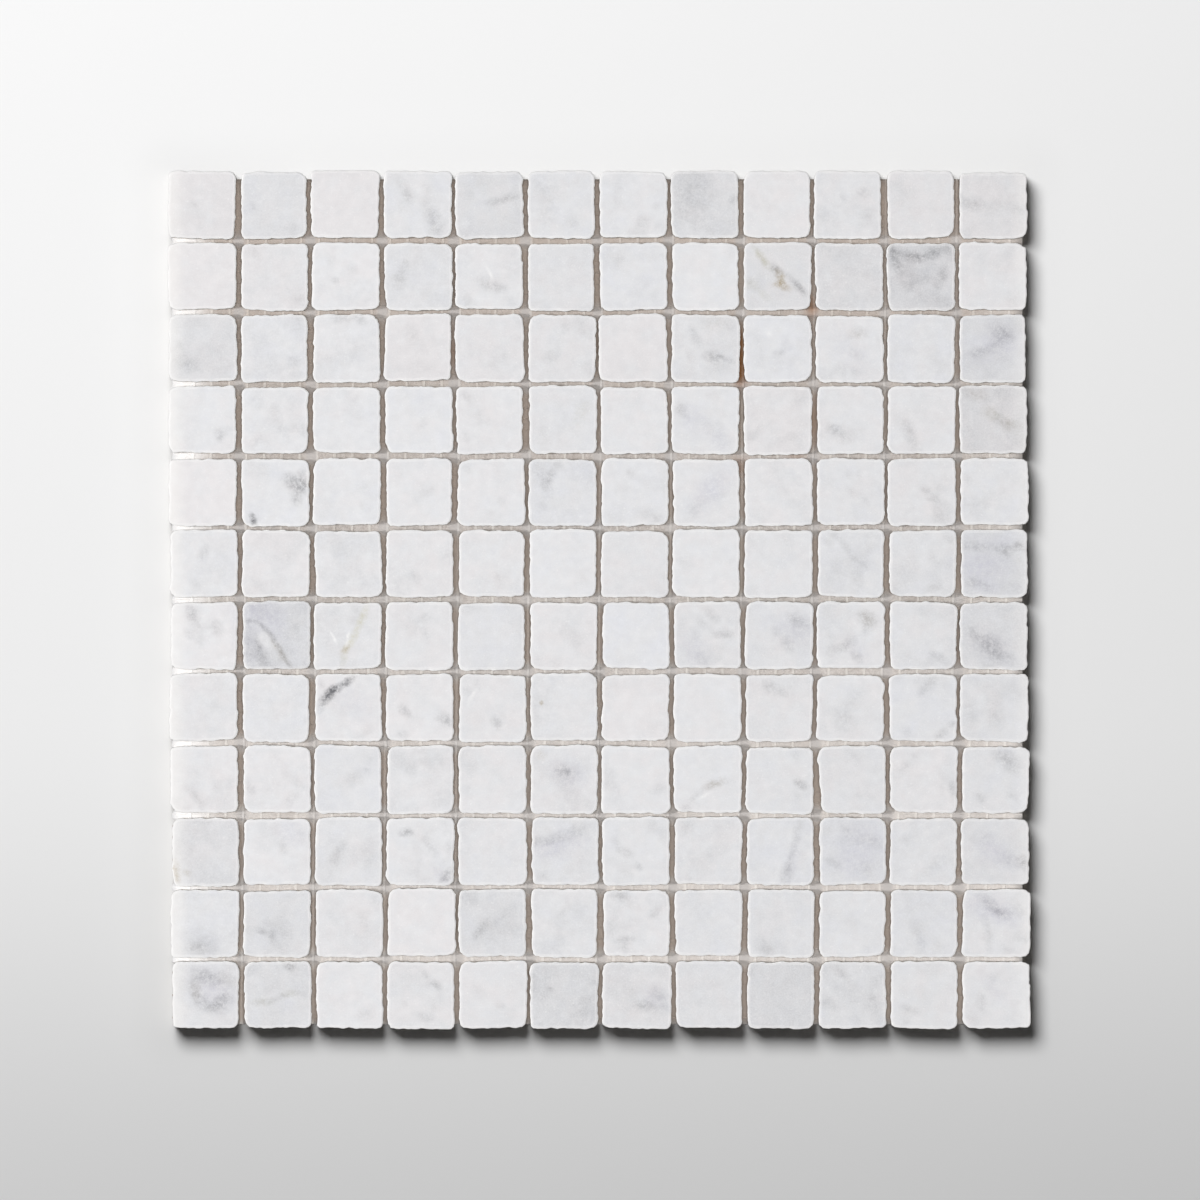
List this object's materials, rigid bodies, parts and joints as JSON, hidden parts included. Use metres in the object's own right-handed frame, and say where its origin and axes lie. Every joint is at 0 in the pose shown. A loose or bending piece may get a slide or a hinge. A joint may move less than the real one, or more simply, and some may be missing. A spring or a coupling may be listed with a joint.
{
  "type": "mosaic tile sheet",
  "caption": "Square mosaic sheet of small tumbled white marble tiles with soft grey veins, bonded face up with open joints to a glass-fibre mesh.",
  "frame": {"origin": "middle of the sheet, on the underside of its mesh", "axes": "+X along a row of tiles, +Y up a column, +Z out of the tiles' faces"},
  "size_m": [0.305, 0.3036, 0.0104],
  "materials": {
    "marble": "tumbled, matt",
    "glass_fibre_mesh": "coated, matt"
  },
  "bodies": {
    "root": {"tile_row_01": "marble", "tile_row_02": "marble", "tile_row_03": "marble", "tile_row_04": "marble", "tile_row_05": "marble", "tile_row_06": "marble", "tile_row_07": "marble", "tile_row_08": "marble", "tile_row_09": "marble", "tile_row_10": "marble", "tile_row_11": "marble", "tile_row_12": "marble", "mesh_lengthwise_strands": "glass_fibre_mesh", "mesh_crosswise_strands": "glass_fibre_mesh"}
  },
  "joints": []
}
